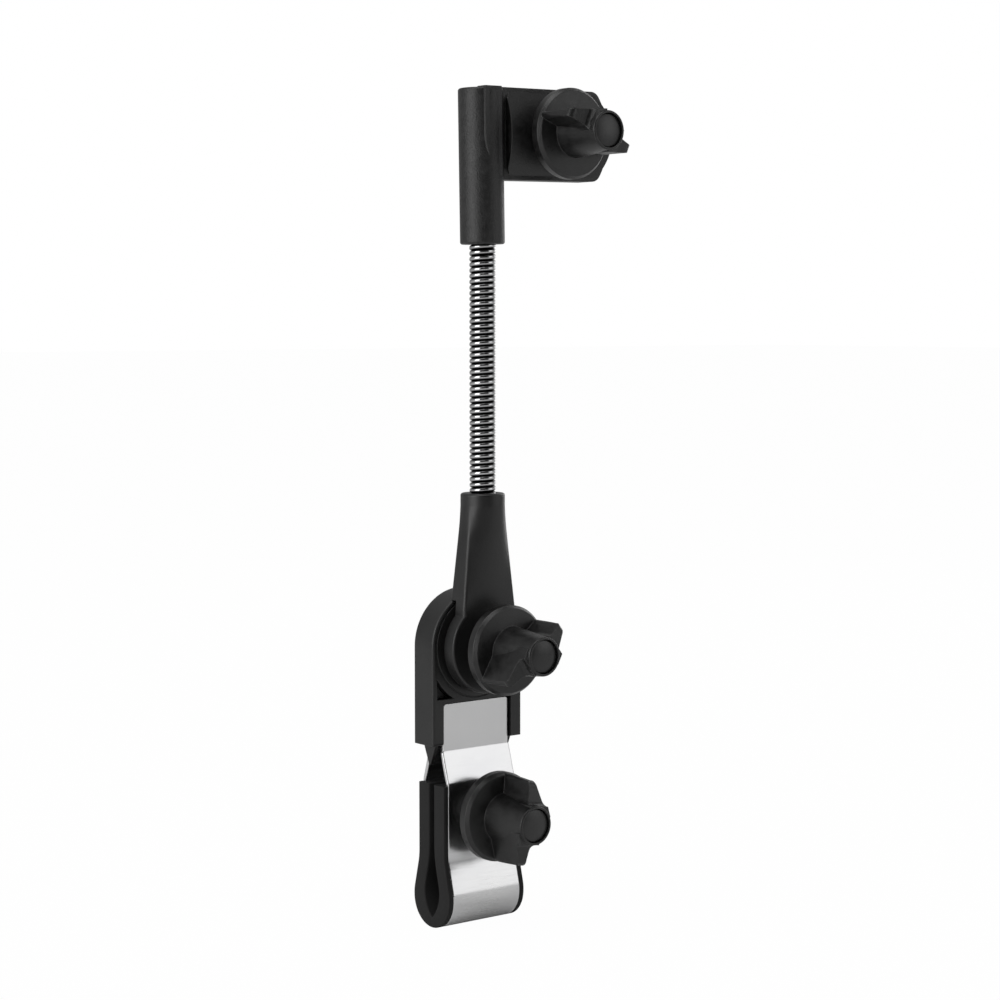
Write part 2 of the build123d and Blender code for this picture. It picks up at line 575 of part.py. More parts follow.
def make_knob(flange_y, angle, x, z):
    """Wing knob with its threaded insert and its end cap, on a bolt along Y."""
    body = knob_turning() + wings()
    end_edges = body.edges().group_by(Axis.Z)[-1]
    body = fillet(end_edges, 0.5)
    rim = body.edges().filter_by(GeomType.CIRCLE).filter_by(lambda e: abs(e.radius - FLANGE_RADIUS) < 0.01)
    body = fillet(rim.group_by(Axis.Z)[0], 0.5)
    recess = Pos(0, 0, KNOB_LENGTH - CAP_DEPTH / 2) * Cylinder(CAP_RADIUS + CAP_GAP, CAP_DEPTH)
    pocket = Pos(0, 0, -REAR_BOSS + INSERT_LENGTH / 2) * Cylinder(INSERT_RADIUS, INSERT_LENGTH)
    bore_length = BOLT_REACH + BORE_SPARE
    bore = Pos(0, 0, bore_length / 2) * Cylinder(BOLT_HOLE, bore_length)
    body = body - recess - pocket - bore
    insert = Pos(0, 0, -REAR_BOSS + INSERT_LENGTH / 2) * Cylinder(INSERT_RADIUS, INSERT_LENGTH)
    insert -= Pos(0, 0, -REAR_BOSS + INSERT_LENGTH / 2) * Cylinder(BOLT_RADIUS + BOLT_FIT, INSERT_LENGTH)
    place = Pos(x, flange_y, z) * Rot(90, 0, 0) * Rot(0, 0, angle)
    return [place * body, place * insert, place * knob_cap()]


def knob_cap():
    """End cap with a low crown."""
    low = KNOB_LENGTH - CAP_DEPTH
    high = KNOB_LENGTH - CAP_SUNK
    crown_radius = (CAP_RADIUS ** 2 + CAP_CROWN ** 2) / (2 * CAP_CROWN)
    disc = Pos(0, 0, (low + high) / 2) * Cylinder(CAP_RADIUS, high - low)
    return disc & Pos(0, 0, high - crown_radius) * Rot(90, 0, 0) * Sphere(crown_radius)


def save_knob(name, pieces):
    for ending, piece in zip(("", "_insert", "_cap"), pieces):
        save(name + ending, piece)


def main():
    os.makedirs("parts", exist_ok=True)
    make_clamp()
    make_bracket()
    make_bracket_fasteners()
    make_arm()
    make_neck()
    make_head()
    make_head_fasteners()
    save_knob("clamp_knob", make_knob(CLAMP_FLANGE_Y, CLAMP_WINGS, 0, CLAMP_HEIGHT))
    save_knob("pivot_knob", make_knob(PIVOT_FLANGE_Y, PIVOT_WINGS, 0, PIVOT_HEIGHT))
    holder = make_knob(HOLDER_FLANGE_Y, HOLDER_WINGS, HOLDER_X, HOLDER_HEIGHT)
    save_knob("holder_knob", [lean(piece) for piece in holder])


main()
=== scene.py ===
import bpy
import math
import numpy as np
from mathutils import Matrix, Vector


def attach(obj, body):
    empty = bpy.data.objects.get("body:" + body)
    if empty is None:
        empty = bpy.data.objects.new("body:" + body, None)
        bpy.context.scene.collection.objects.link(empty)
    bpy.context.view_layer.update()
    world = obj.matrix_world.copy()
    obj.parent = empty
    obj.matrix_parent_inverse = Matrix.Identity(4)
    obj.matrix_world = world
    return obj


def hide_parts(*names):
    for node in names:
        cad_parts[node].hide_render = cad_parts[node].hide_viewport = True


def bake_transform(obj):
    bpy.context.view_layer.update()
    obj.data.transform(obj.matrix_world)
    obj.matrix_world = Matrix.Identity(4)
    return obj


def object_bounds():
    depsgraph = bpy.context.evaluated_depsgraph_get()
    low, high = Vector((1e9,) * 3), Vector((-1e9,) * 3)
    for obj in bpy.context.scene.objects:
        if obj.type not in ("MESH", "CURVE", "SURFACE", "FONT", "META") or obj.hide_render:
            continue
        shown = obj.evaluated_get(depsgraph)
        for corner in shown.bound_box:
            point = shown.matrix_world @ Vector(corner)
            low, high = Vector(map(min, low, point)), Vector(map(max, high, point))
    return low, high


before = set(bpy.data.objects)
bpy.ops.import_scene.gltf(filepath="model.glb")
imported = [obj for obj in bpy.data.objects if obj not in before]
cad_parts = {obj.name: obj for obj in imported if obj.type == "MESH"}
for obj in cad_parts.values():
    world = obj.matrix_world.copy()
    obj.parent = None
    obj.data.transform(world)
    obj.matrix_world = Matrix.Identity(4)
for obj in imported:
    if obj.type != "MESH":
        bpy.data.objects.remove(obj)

cad_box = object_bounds()
MM = 0.001

# ==== strap ===================================================================
# One strip of polished spring steel, bent round a mandrel into a loop with two legs
# that lean together at the top. The shear leaves its long edges slightly rounded.

LOOP_RADIUS = 9.2
LOOP_SINK = 0.6
LOOP_WRAP = math.radians(14.0)
LOOP_BLEND = 20.0
FLAT_HALF = 6.3
TOP_HALF = 3.1
SLANT_START, SLANT_END, SLANT_BEND = 38.8, 49.4, 2.5
STRAP_TOP = 65.3
STRAP_HALF_WIDTH = 14.1
STRAP_TOP_HALF_WIDTH = 13.7
STRAP_HALF_THICK = 0.7
BOLT_UP, BOLT_HOLE, SWING = 28.0, 3.3, 1.6
THROUGH = 20.0
CREASE = math.radians(35)


def bend(point, heading, turn, radius, count=28):
    """Arc of a strip's line: centre + radius * (cos, sin) of an angle that runs through the turn."""
    side = 1.0 if turn > 0 else -1.0
    spoke = heading - side * math.pi / 2
    centre = point - radius * np.array([math.cos(spoke), math.sin(spoke)])
    angle = spoke + turn * np.linspace(0, 1, count)[:, None]
    arc = centre + radius * np.hstack([np.cos(angle), np.sin(angle)])
    headings = heading + turn * np.linspace(0, 1, count)
    return arc, headings


def run(point, heading, length, count=14):
    """Straight of a strip's line, with its points closer together towards its far end."""
    along = length * (1 - (1 - np.linspace(0, 1, count)) ** 2)[:, None]
    line = point + along * np.array([math.cos(heading), math.sin(heading)])
    return line, np.full(count, heading)


def leg_line(top):
    """Points (out, up) and outward normals of one leg, from the loop's bottom up to a height."""
    upright = math.pi / 2
    down = LOOP_RADIUS * math.cos(LOOP_WRAP) - FLAT_HALF - LOOP_BLEND * (1 - math.cos(LOOP_WRAP))
    first_run = down / math.sin(LOOP_WRAP)
    slant = math.atan2(FLAT_HALF - TOP_HALF, SLANT_END - SLANT_START)
    setback = SLANT_BEND * math.tan(slant / 2)
    slope = (FLAT_HALF - TOP_HALF) / math.sin(slant)
    parts = [bend(np.array([0.0, -LOOP_RADIUS - LOOP_SINK]), 0.0, upright, LOOP_RADIUS, count=60)]

    def end():
        """Point that the line has reached."""
        return parts[-1][0][-1]

    parts.append(run(end(), upright, LOOP_SINK, count=3))
    parts.append(bend(end(), upright, LOOP_WRAP, LOOP_RADIUS, count=10))
    parts.append(run(end(), parts[-1][1][-1], first_run))
    parts.append(bend(end(), parts[-1][1][-1], -LOOP_WRAP, LOOP_BLEND))
    if top > SLANT_START:
        parts.append(run(end(), upright, SLANT_START - setback - end()[1], count=24))
        parts.append(bend(end(), upright, slant, SLANT_BEND))
        parts.append(run(end(), upright + slant, slope - 2 * setback))
        parts.append(bend(end(), upright + slant, -slant, SLANT_BEND))
    parts.append(run(end(), upright, top - end()[1], count=24))
    points = np.vstack([parts[0][0][:1]] + [part[0][1:] for part in parts])
    headings = np.hstack([parts[0][1][:1]] + [part[1][1:] for part in parts])
    normals = np.column_stack([np.sin(headings), -np.cos(headings)])
    return points, normals


def both_legs(points, normals):
    """Mirrors one leg's line: front leg's top, loop's bottom, back leg's top, as (Y, Z)."""
    front = points[::-1] * [-1, 1]
    front_normals = normals[::-1] * [-1, 1]
    return np.vstack([front, points[1:]]), np.vstack([front_normals, normals[1:]])


def closed_tube(name, rings):
    """Mesh of a grid of rings (station, ring point, XYZ in mm), closed by a flat face at each end."""
    stations, count = rings.shape[:2]
    index = np.arange(stations * count).reshape(stations, count)
    ahead = np.roll(index, -1, axis=1)
    quads = np.stack([index[:-1], ahead[:-1], ahead[1:], index[1:]], axis=-1).reshape(-1, 4)
    flat = rings.reshape(-1, 3)
    corners = flat[quads]
    volume = np.einsum("ij,ij->i", corners[:, 0], np.cross(corners[:, 1], corners[:, 2])).sum()
    volume += np.einsum("ij,ij->i", corners[:, 0], np.cross(corners[:, 2], corners[:, 3])).sum()
    faces = quads.tolist() + [index[0][::-1].tolist(), index[-1].tolist()]
    if volume < 0:
        faces = [face[::-1] for face in faces]
    mesh = bpy.data.meshes.new(name)
    mesh.from_pydata((flat * MM).tolist(), [], faces)
    mesh.polygons.foreach_set("use_smooth", np.ones(len(faces), dtype=bool))
    mesh.set_sharp_from_angle(angle=CREASE)
    piece = bpy.data.objects.new(name, mesh)
    bpy.context.collection.objects.link(piece)
    return piece


def strip_section(half_width, half_thick, rounding=0.34):
    """Rounded rectangle (x, offset): four quarter circles, each with a point beside it on the wide face."""
    turn = np.linspace(0, math.pi / 2, 6)
    beside = 0.3
    x0, o0 = half_width - rounding, half_thick - rounding
    corner = np.column_stack([rounding * np.cos(turn), rounding * np.sin(turn)])
    first = np.vstack([corner + [x0, o0], [[x0 - beside, half_thick]]])
    second = first[::-1] * [-1, 1]
    upper = np.vstack([first, second])
    return np.vstack([upper, upper[::-1] * [1, -1]])


def hole_cutter(low, high, radius, front, back):
    """Upright slot with round ends, as a prism along Y."""
    count = 48
    angle = np.linspace(0, 2 * math.pi, count, endpoint=False)
    centre = np.where(np.sin(angle) >= 0, high, low)
    ring = np.column_stack([radius * np.cos(angle), np.zeros(count), centre + radius * np.sin(angle)])
    return closed_tube("cutter", np.stack([ring + [0, front, 0], ring + [0, back, 0]]))


def cut(piece, cutters):
    """Takes the cutters out of a piece and keeps the result as its mesh."""
    for cutter in cutters:
        boolean = piece.modifiers.new("hole", "BOOLEAN")
        boolean.operation = "DIFFERENCE"
        boolean.solver = "EXACT"
        boolean.object = cutter
    shaped = bpy.data.meshes.new_from_object(piece.evaluated_get(bpy.context.evaluated_depsgraph_get()))
    piece.modifiers.clear()
    piece.data = shaped
    shaped.name = piece.name
    shaped.set_sharp_from_angle(angle=CREASE)
    for cutter in cutters:
        bpy.data.objects.remove(cutter)


def surface_marks():
    """Node group for every finish: fine grain, broad clouds, and a mask along worn edges."""
    group = bpy.data.node_groups.new("surface_marks", "ShaderNodeTree")
    number, vector = "NodeSocketFloat", "NodeSocketVector"
    inputs = (("Grain Scale", number), ("Cloud Scale", number), ("Edge Radius", number), ("Stretch", vector))
    outputs = (("Grain", number), ("Clouds", number), ("Edges", number), ("Round Normal", vector))
    for way, sockets in (("INPUT", inputs), ("OUTPUT", outputs)):
        for name, kind in sockets:
            group.interface.new_socket(name, in_out=way, socket_type=kind)
    nodes, links = group.nodes, group.links
    given, out = nodes.new("NodeGroupInput"), nodes.new("NodeGroupOutput")
    place, stretch = nodes.new("ShaderNodeTexCoord"), nodes.new("ShaderNodeVectorMath")
    stretch.operation = "MULTIPLY"
    links.new(place.outputs["Object"], stretch.inputs[0])
    links.new(given.outputs["Stretch"], stretch.inputs[1])
    grain, clouds = nodes.new("ShaderNodeTexNoise"), nodes.new("ShaderNodeTexNoise")
    grain.inputs["Detail"].default_value = 3.0
    clouds.inputs["Detail"].default_value = 5.0
    links.new(stretch.outputs[0], grain.inputs["Vector"])
    links.new(given.outputs["Grain Scale"], grain.inputs["Scale"])
    links.new(place.outputs["Object"], clouds.inputs["Vector"])
    links.new(given.outputs["Cloud Scale"], clouds.inputs["Scale"])
    rounded, true = nodes.new("ShaderNodeBevel"), nodes.new("ShaderNodeNewGeometry")
    rounded.samples = 6
    links.new(given.outputs["Edge Radius"], rounded.inputs["Radius"])
    dot, worn = nodes.new("ShaderNodeVectorMath"), nodes.new("ShaderNodeMapRange")
    dot.operation = "DOT_PRODUCT"
    links.new(rounded.outputs["Normal"], dot.inputs[0])
    links.new(true.outputs["Normal"], dot.inputs[1])
    worn.inputs["From Min"].default_value, worn.inputs["From Max"].default_value = 1.0, 0.80
    links.new(dot.outputs["Value"], worn.inputs["Value"])
    links.new(grain.outputs["Fac"], out.inputs["Grain"])
    links.new(clouds.outputs["Fac"], out.inputs["Clouds"])
    links.new(worn.outputs["Result"], out.inputs["Edges"])
    links.new(rounded.outputs["Normal"], out.inputs["Round Normal"])
    return group


MARKS = surface_marks()
MIX_A, MIX_B, MIX_RESULT = 6, 7, 2


def finish(name, dark, light, worn, rough, grain_size, relief, stretch=(1, 1, 1), edge=0.0004,
           metal=0.0, level=0.5, cloud=60.0):
    """Material whose colour drifts from dark to light with the clouds and is worn on edges."""
    material = bpy.data.materials.new(name)
    material.use_nodes = True
    nodes, links = material.node_tree.nodes, material.node_tree.links
    shader = nodes["Principled BSDF"]
    shader.inputs["Metallic"].default_value = metal
    shader.inputs["Specular IOR Level"].default_value = level
    marks = nodes.new("ShaderNodeGroup")
    marks.node_tree = MARKS
    marks.inputs["Grain Scale"].default_value = 1.0 / (grain_size * MM)
    marks.inputs["Cloud Scale"].default_value = cloud
    marks.inputs["Edge Radius"].default_value = edge
    marks.inputs["Stretch"].default_value = stretch
    drift, rub = nodes.new("ShaderNodeMix"), nodes.new("ShaderNodeMix")
    for mix in (drift, rub):
        mix.data_type = "RGBA"
    spread = nodes.new("ShaderNodeMapRange")
    spread.inputs["From Min"].default_value, spread.inputs["From Max"].default_value = 0.35, 0.65
    links.new(marks.outputs["Clouds"], spread.inputs["Value"])
    links.new(spread.outputs["Result"], drift.inputs[0])
    drift.inputs[MIX_A].default_value = (*dark, 1)
    drift.inputs[MIX_B].default_value = (*light, 1)
    links.new(marks.outputs["Edges"], rub.inputs[0])
    links.new(drift.outputs[MIX_RESULT], rub.inputs[MIX_A])
    rub.inputs[MIX_B].default_value = (*worn, 1)
    links.new(rub.outputs[MIX_RESULT], shader.inputs["Base Color"])
    gloss = nodes.new("ShaderNodeMapRange")
    gloss.inputs["From Min"].default_value, gloss.inputs["From Max"].default_value = 0.3, 0.7
    gloss.inputs["To Min"].default_value, gloss.inputs["To Max"].default_value = rough
    grain_share, cloud_share = 0.4, 0.6
    both, clouds = nodes.new("ShaderNodeMath"), nodes.new("ShaderNodeMath")
    both.operation, clouds.operation = "MULTIPLY_ADD", "MULTIPLY"
    both.inputs[1].default_value = grain_share
    clouds.inputs[1].default_value = cloud_share
    links.new(marks.outputs["Grain"], both.inputs[0])
    links.new(marks.outputs["Clouds"], clouds.inputs[0])
    links.new(clouds.outputs[0], both.inputs[2])
    links.new(both.outputs[0], gloss.inputs["Value"])
    links.new(gloss.outputs["Result"], shader.inputs["Roughness"])
    bump = nodes.new("ShaderNodeBump")
    bump.inputs["Distance"].default_value = relief * MM
    links.new(marks.outputs["Grain"], bump.inputs["Height"])
    links.new(marks.outputs["Round Normal"], bump.inputs["Normal"])
    links.new(bump.outputs["Normal"], shader.inputs["Normal"])
    return material


def make_strap():
    """Strap surface: the strip's section (x, offset) set on the line's normals, station by station."""
    line, normals = both_legs(*leg_line(STRAP_TOP))
    section = strip_section(STRAP_HALF_WIDTH, STRAP_HALF_THICK)
    from_top = np.clip(STRAP_TOP - line[:, 1], 0, 1)
    taken_in = 1 - np.sqrt(1 - (1 - from_top) ** 2)
    step = STRAP_HALF_WIDTH - STRAP_TOP_HALF_WIDTH
    taken_in = taken_in + np.interp(line[:, 1], [SLANT_END - step, SLANT_END], [0, step])
    wide = (STRAP_HALF_WIDTH - taken_in) / STRAP_HALF_WIDTH
    x = section[None, :, 0] * wide[:, None]
    yz = line[:, None, :] + normals[:, None, :] * section[None, :, 1:2]
    return closed_tube("strap", np.concatenate([x[..., None], yz], axis=2))


def bolt_holes(inside):
    """Cutters for the clamp bolt: a slot in the front leg, which swings, and a round hole in the back leg."""
    return [hole_cutter(BOLT_UP, BOLT_UP + SWING, BOLT_HOLE, -THROUGH, -inside),
            hole_cutter(BOLT_UP, BOLT_UP, BOLT_HOLE, inside, THROUGH)]


strap = make_strap()
cut(strap, bolt_holes(inside=2.0))
strap.data.materials.clear()
strap.data.materials.append(
    finish("strap_steel", dark=(0.66, 0.66, 0.67), light=(0.74, 0.74, 0.74), worn=(0.84, 0.84, 0.84),
           rough=(0.17, 0.30), grain_size=0.35, relief=0.0006, stretch=(0.04, 1, 1), metal=1.0, cloud=35.0))
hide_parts("strap_front", "strap_back")
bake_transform(strap)

# ==== liner ===================================================================
# One moulding of soft black rubber that fills the strap and wraps its long edges.
# The pole sits in its hollow, which narrows upwards to a slit.

LINER_HALF_WIDTH = 15.9
LINER_TOP = 38.1
RIM_INSIDE = 14.16
SLIT_HALF, SLIT_BOTTOM = 1.3, 18.0
HOLLOW_HALF, HOLLOW_WIDEST, HOLLOW_BOTTOM = 4.0, 1.5, -7.0


def hermite(start, end, leave, arrive, count=80):
    """Cubic between two points with given end tangents: Hermite weights of t times points and tangents."""
    t = np.linspace(0, 1, count)[:, None]
    weights = [2 * t ** 3 - 3 * t ** 2 + 1, t ** 3 - 2 * t ** 2 + t]
    weights += [3 * t ** 2 - 2 * t ** 3, t ** 3 - t ** 2]
    return sum(w * np.array(v) for w, v in zip(weights, (start, leave, end, arrive)))


def hollow_half(height):
    """Half width of the hollow at a height, from two cubics and the straight slit above them."""
    bottom, widest, slit = (0, HOLLOW_BOTTOM), (HOLLOW_HALF, HOLLOW_WIDEST), (SLIT_HALF, SLIT_BOTTOM)
    lower = hermite(bottom, widest, leave=(7.2, 5.4), arrive=(0, 9.0))
    upper = hermite(widest, slit, leave=(0, 10.0), arrive=(0, 24.0))
    curve = np.vstack([lower, upper[1:]])
    return np.interp(height, curve[:, 1], curve[:, 0])


def make_liner():
    """Liner surface: rings of (x, depth) from the hollow's wall out to the strap's line."""
    line, normals = leg_line(LINER_TOP)
    length = np.hstack([0, np.cumsum(np.linalg.norm(np.diff(line, axis=0), axis=1))])
    past_loop = np.argmax(line[:, 1] > HOLLOW_WIDEST)
    ramp = np.clip(length / length[past_loop], 0, 1)
    hollow_up = HOLLOW_BOTTOM + (HOLLOW_WIDEST - HOLLOW_BOTTOM) * ramp
    inner_up = np.where(ramp < 1, hollow_up, line[:, 1])
    inner = np.column_stack([hollow_half(inner_up), inner_up])
    inner_way = (line - inner) / np.linalg.norm(line - inner, axis=1)[:, None]
    turn = np.linspace(0, math.pi / 2, 5)
    soft, rim, hidden_step = 0.5, 0.32, 0.6
    low_x = LINER_HALF_WIDTH - soft + soft * np.sin(turn)
    low_depth = soft - soft * np.cos(turn)
    high_x = LINER_HALF_WIDTH - rim + rim * np.cos(turn)
    high_offset = STRAP_HALF_THICK - rim + rim * np.sin(turn)
    offset = np.hstack([high_offset, STRAP_HALF_THICK, -STRAP_HALF_THICK, -STRAP_HALF_THICK])
    wall = inner[:, None] + inner_way[:, None] * low_depth[None, :, None]
    rest = line[:, None] + normals[:, None] * offset[None, :, None]
    side = np.concatenate([wall, rest], axis=1)
    side_x = np.hstack([low_x, high_x, RIM_INSIDE, RIM_INSIDE, RIM_INSIDE - hidden_step])
    ring_yz = np.concatenate([side, side[:, ::-1]], axis=1)
    ring_x = np.hstack([side_x, -side_x[::-1]])
    ring_x = np.broadcast_to(ring_x[None, :, None], ring_yz.shape[:2] + (1,))
    back = np.concatenate([ring_x, ring_yz], axis=2)
    front = back[::-1] * [1, -1, 1]
    return closed_tube("liner", np.concatenate([front, back[1:]]))


liner = make_liner()
cut(liner, bolt_holes(inside=0.5))
liner.data.materials.clear()
liner.data.materials.append(
    finish("liner_rubber", dark=(0.006,) * 3, light=(0.012,) * 3, worn=(0.022,) * 3,
           rough=(0.60, 0.85), grain_size=0.16, relief=0.02, level=0.30))
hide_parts("liner_front", "liner_back")
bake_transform(liner)

# ==== bracket =================================================================
# Arched block moulded in black nylon. The strap's rear leg is screwed into it from
# behind, and the front leg stands in its window. Its skin has the mould's fine grain.


def dress(names, material):
    """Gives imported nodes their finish."""
    for name in names:
        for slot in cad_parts[name].material_slots:
            slot.material = material


def moulded_nylon(name, pale=1.0, grain=0.22, rough=(0.34, 0.50), relief=0.022, cloud=60.0):
    """Black nylon: pale scales its colour, relief is its grain's height, cloud sets its mottling."""
    dark, light, worn = 0.0042 * pale, 0.0090 * pale, 0.030 * pale
    return finish(name, (dark,) * 3, (light,) * 3, (worn,) * 3, rough, grain, relief, cloud=cloud)


dress(["bracket"], moulded_nylon("bracket_nylon"))

# ==== arm =====================================================================
# Black nylon arm, moulded in one with its pivot disc. A fibre ring behind the disc
# gives the friction that holds its tilt.

dress(["arm"], moulded_nylon("arm_nylon", rough=(0.32, 0.47)))
dress(["friction_washer"],
      finish("fibre_ring", dark=(0.022, 0.021, 0.020), light=(0.040, 0.038, 0.036), worn=(0.06, 0.06, 0.06),
             rough=(0.70, 0.90), grain_size=0.30, relief=0.03, level=0.3))

# ==== bolts and screws ========================================================
# Zinc-plated steel: a dome-headed bolt through the strap, hexagon-headed bolts in the
# bracket and head, and two small slotted screws that hold the strap's rear leg.

dress(["clamp_bolt", "pivot_bolt", "holder_bolt"],
      finish("zinc_bolt", dark=(0.50, 0.51, 0.53), light=(0.64, 0.65, 0.67), worn=(0.75, 0.75, 0.76),
             rough=(0.22, 0.38), grain_size=0.25, relief=0.004, metal=1.0, cloud=220.0))
dress(["strap_screws"],
      finish("zinc_screw", dark=(0.48, 0.49, 0.50), light=(0.60, 0.61, 0.62), worn=(0.72, 0.72, 0.73),
             rough=(0.24, 0.40), grain_size=0.20, relief=0.004, metal=1.0, cloud=300.0))

# ==== gooseneck ===============================================================
# Steel wire wound close over an inner wire, 44 turns to the right. It keeps whatever
# bend it is given: its turns open on the outside of a bend and close on the inside.

NECK_Y, NECK_RADIUS = -7.6, 4.4
ARM_TOP, NECK_TOP = 135.5, 217.6
NECK_TURNS, NECK_LENGTHS = 44, 11
PITCH = (NECK_TOP - ARM_TOP) / NECK_TURNS
WIRE = PITCH / 2
WOUND_RADIUS = NECK_RADIUS - WIRE
LENGTH = (NECK_TOP - ARM_TOP) / NECK_LENGTHS
IN_SOCKET = 5.0


def wound_wire(name, low, high):
    """Helix (R cos a, R sin a, pitch * a / 2 pi) with a round section across its heading."""
    steps_a_turn, sides, clear = 36, 16, 0.995
    count = int((high - low) / PITCH * steps_a_turn) + 1
    height = np.linspace(low, high, count)
    angle = 2 * math.pi * (height - ARM_TOP) / PITCH
    outward = np.column_stack([np.cos(angle), np.sin(angle), np.zeros(count)])
    rise = np.full(count, PITCH / (2 * math.pi))
    heading = np.column_stack([-WOUND_RADIUS * np.sin(angle), WOUND_RADIUS * np.cos(angle), rise])
    heading /= np.linalg.norm(heading, axis=1)[:, None]
    across = np.cross(heading, outward)
    centre = outward * WOUND_RADIUS + np.column_stack([np.zeros(count), np.full(count, NECK_Y), height])
    turn = np.linspace(0, 2 * math.pi, sides, endpoint=False)[None, :, None]
    ring = np.cos(turn) * outward[:, None] + np.sin(turn) * across[:, None]
    return closed_tube(name, centre[:, None] + WIRE * clear * ring)


def paint_groove_shade(material):
    """Painted shade between the turns: the colour falls to near black as the distance from the neck's axis
    shrinks.
    """
    foot, crest = 0.76, 1.02
    nodes, links = material.node_tree.nodes, material.node_tree.links
    place = nodes.new("ShaderNodeTexCoord")
    centred, flat = nodes.new("ShaderNodeVectorMath"), nodes.new("ShaderNodeVectorMath")
    centred.operation, flat.operation = "SUBTRACT", "MULTIPLY"
    centred.inputs[1].default_value = (0, NECK_Y * MM, 0)
    flat.inputs[1].default_value = (1, 1, 0)
    distance, depth = nodes.new("ShaderNodeVectorMath"), nodes.new("ShaderNodeMapRange")
    groove_shade = nodes.new("ShaderNodeMix")
    distance.operation = "LENGTH"
    groove_shade.data_type = "RGBA"
    links.new(place.outputs["Object"], centred.inputs[0])
    links.new(centred.outputs[0], flat.inputs[0])
    links.new(flat.outputs[0], distance.inputs[0])
    links.new(distance.outputs["Value"], depth.inputs["Value"])
    depth.inputs["From Min"].default_value = (WOUND_RADIUS + foot * WIRE) * MM
    depth.inputs["From Max"].default_value = (WOUND_RADIUS + crest * WIRE) * MM
    shader = nodes["Principled BSDF"]
    unshaded = shader.inputs["Base Color"].links[0].from_socket
    links.new(depth.outputs["Result"], groove_shade.inputs[0])
    # Near black: the painted shade deep in the grooves between the turns.
    groove_shade.inputs[MIX_A].default_value = (0.02, 0.02, 0.02, 1)
    links.new(unshaded, groove_shade.inputs[MIX_B])
    links.new(groove_shade.outputs[MIX_RESULT], shader.inputs["Base Color"])


coil_steel = finish("coil_steel", dark=(0.70, 0.70, 0.71), light=(0.82, 0.82, 0.83), worn=(0.88, 0.88, 0.89),
                    rough=(0.12, 0.22), grain_size=0.30, relief=0.002, edge=0.0001, metal=1.0, cloud=160.0)
# Painted shade in the grooves between the coil's turns, darker nearer the neck's axis.
paint_groove_shade(coil_steel)
lengths = [("neck_coil_lower_end", "arm", ARM_TOP - IN_SOCKET, ARM_TOP)]
for number in range(NECK_LENGTHS):
    foot = ARM_TOP + number * LENGTH
    lengths.append((f"neck_coil_{number + 1:02d}", f"neck_{number + 1:02d}", foot, foot + LENGTH))
lengths.append(("neck_coil_upper_end", "head", NECK_TOP, NECK_TOP + IN_SOCKET))
for node, body, low, high in lengths:
    coil = wound_wire(node.replace("neck_coil", "coil"), low, high)
    coil.data.materials.append(coil_steel)
    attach(coil, body)
    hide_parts(node)
dress([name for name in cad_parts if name.startswith("neck_core")],
      finish("core_wire", dark=(0.30, 0.30, 0.31), light=(0.42, 0.42, 0.43), worn=(0.50, 0.50, 0.50),
             rough=(0.30, 0.45), grain_size=0.20, relief=0.003, metal=1.0, cloud=300.0))

# ==== head ====================================================================
# Black nylon head: a socket for the gooseneck with a side plate. The plate's front is
# crowned, so that the airbrush hanger bears on its middle.

dress(["holder_head"],
      moulded_nylon("head_nylon", pale=1.3, grain=0.42, rough=(0.30, 0.50), relief=0.16, cloud=520.0))

# ==== knobs ===================================================================
# Three like wing knobs in black nylon, each moulded round a brass thread and closed by
# a press-in cap, with plain nylon spacers behind them.

KNOBS = ("clamp_knob", "pivot_knob", "holder_knob")
dress(KNOBS,
      moulded_nylon("knob_nylon", pale=0.9, grain=0.35, rough=(0.26, 0.42), relief=0.07, cloud=380.0))
dress([name + "_cap" for name in KNOBS],
      moulded_nylon("cap_nylon", pale=1.9, grain=0.15, rough=(0.26, 0.38)))
dress([name + "_insert" for name in KNOBS],
      finish("insert_brass", dark=(0.56, 0.41, 0.18), light=(0.68, 0.53, 0.26), worn=(0.78, 0.64, 0.36),
             rough=(0.24, 0.36), grain_size=0.2, relief=0.003, metal=1.0, cloud=250.0))
dress(["clamp_spacer", "pivot_spacer", "holder_washer"],
      moulded_nylon("spacer_nylon", pale=1.4, grain=0.15, rough=(0.40, 0.55)))

# ==== studio ==================================================================
# Plain pale floor and soft light from both sides and above. The camera stands before
# the knobs and to their left, some three quarters of the way up, and looks slightly down.


def studio_floor():
    """Pale floor: bright in itself, with a soft shadow, and greyer where metal mirrors it."""
    below, size = 0.0004, 12.0
    z = cad_box[0][2] - below
    corners = [(-size, -size, z), (size, -size, z), (size, size, z), (-size, size, z)]
    mesh = bpy.data.meshes.new("floor")
    mesh.from_pydata(corners, [], [(0, 1, 2, 3)])
    floor = bpy.data.objects.new("floor", mesh)
    bpy.context.collection.objects.link(floor)
    paper = bpy.data.materials.new("floor_paper")
    paper.use_nodes = True
    nodes, links = paper.node_tree.nodes, paper.node_tree.links
    nodes.clear()
    matt, bright = nodes.new("ShaderNodeBsdfDiffuse"), nodes.new("ShaderNodeEmission")
    matt.inputs["Color"].default_value = (0.70, 0.70, 0.70, 1)
    bright.inputs["Color"].default_value = (1, 1, 1, 1)
    own_light = 0.985
    seen, share = nodes.new("ShaderNodeLightPath"), nodes.new("ShaderNodeMath")
    mix = nodes.new("ShaderNodeMixShader")
    share.operation = "MULTIPLY"
    share.inputs[1].default_value = own_light
    links.new(seen.outputs["Is Camera Ray"], share.inputs[0])
    links.new(share.outputs[0], mix.inputs[0])
    links.new(matt.outputs[0], mix.inputs[1])
    links.new(bright.outputs[0], mix.inputs[2])
    links.new(mix.outputs[0], nodes.new("ShaderNodeOutputMaterial").inputs["Surface"])
    mesh.materials.append(paper)


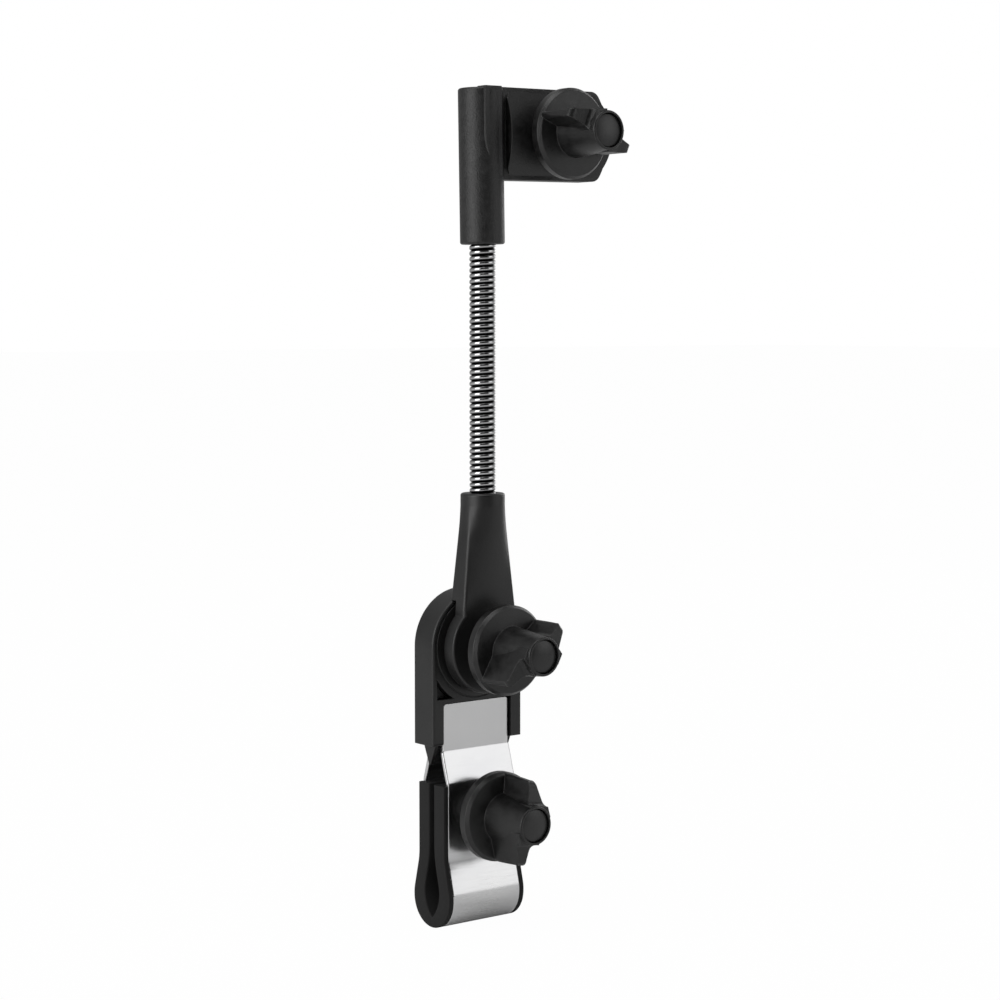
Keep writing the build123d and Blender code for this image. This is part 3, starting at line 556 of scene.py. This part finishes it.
def soft_light(name, place, aim, size, power):
    """Rectangular lamp at a place, facing a point."""
    data = bpy.data.lights.new(name, "AREA")
    data.shape = "RECTANGLE"
    data.size, data.size_y = size
    data.energy = power
    light = bpy.data.objects.new(name, data)
    light.location = place
    light.rotation_euler = (Vector(aim) - Vector(place)).to_track_quat("-Z", "Y").to_euler()
    bpy.context.collection.objects.link(light)


def dark_flag():
    """Curved sheet of black cloth behind the camera, unseen by it, that darkens the middle of round metal."""
    reach, foot, height, posts = 1.1, -0.2, 1.8, 13
    middle, left_edge, right_edge = math.radians(-38.0), -0.50, 0.95
    turn = middle + np.linspace(left_edge, right_edge, posts)
    low = np.column_stack([reach * np.sin(turn), -reach * np.cos(turn), np.full(posts, foot)])
    points = np.vstack([low, low + [0, 0, height]])
    index = np.arange(posts - 1)
    faces = np.column_stack([index, index + 1, index + posts + 1, index + posts])
    mesh = bpy.data.meshes.new("flag")
    mesh.from_pydata(points.tolist(), [], faces.tolist())
    flag = bpy.data.objects.new("flag", mesh)
    bpy.context.collection.objects.link(flag)
    cloth = bpy.data.materials.new("flag_cloth")
    cloth.use_nodes = True
    black = cloth.node_tree.nodes["Principled BSDF"]
    black.inputs["Base Color"].default_value = (0.01, 0.01, 0.01, 1)
    black.inputs["Roughness"].default_value = 1.0
    mesh.materials.append(cloth)
    flag.visible_camera = False
    flag.visible_diffuse = False
    flag.visible_shadow = False


studio_floor()
dark_flag()
soft_light("left_light", place=(-1.30, -0.10, 0.45), aim=(0, 0, 0.14), size=(1.1, 1.3), power=13)
soft_light("right_light", place=(0.96, -1.19, 0.50), aim=(0, 0, 0.05), size=(0.9, 0.8), power=2.1)
soft_light("edge_light", place=(1.10, 0.35, 0.35), aim=(0, 0, 0.14), size=(0.3, 1.3), power=2.5)
soft_light("top_light", place=(-0.4, -0.2, 2.4), aim=(0, 0, 0), size=(1.6, 1.6), power=19)


def studio_sky():
    """White where the camera sees it, and dimmer in what it lends, so that the lamps shape the plastic."""
    lent = 0.38
    world = bpy.data.worlds.new("studio")
    world.use_nodes = True
    nodes, links = world.node_tree.nodes, world.node_tree.links
    glow = nodes["Background"]
    glow.inputs["Color"].default_value = (1, 1, 1, 1)
    seen, level = nodes.new("ShaderNodeLightPath"), nodes.new("ShaderNodeMapRange")
    level.inputs["To Min"].default_value, level.inputs["To Max"].default_value = lent, 1.0
    links.new(seen.outputs["Is Camera Ray"], level.inputs["Value"])
    links.new(level.outputs["Result"], glow.inputs["Strength"])
    return world


bpy.context.scene.world = studio_sky()
bpy.context.scene.view_settings.view_transform = "Standard"

TURN = math.radians(-38.02)
FOCAL = 2.3516
DISTANCE, ASIDE, HEIGHT = 0.7796, 0.0028, 0.1937
LOOK_DOWN, LOOK_RIGHT = 0.0776, 0.0038
back = Vector((math.sin(TURN), -math.cos(TURN), 0))
right = Vector((math.cos(TURN), math.sin(TURN), 0))
camera_data = bpy.data.cameras.new("camera")
camera_data.sensor_width = 36
camera_data.lens = FOCAL * camera_data.sensor_width
camera_data.clip_start = 0.01
camera = bpy.data.objects.new("camera", camera_data)
bpy.context.collection.objects.link(camera)
neck_axis = Vector((0.0, NECK_Y * MM, 0.0))
camera.location = neck_axis + back * DISTANCE + right * ASIDE + Vector((0, 0, HEIGHT))
camera.rotation_euler = (math.pi / 2 - LOOK_DOWN, 0, TURN - LOOK_RIGHT)
bpy.context.scene.camera = camera
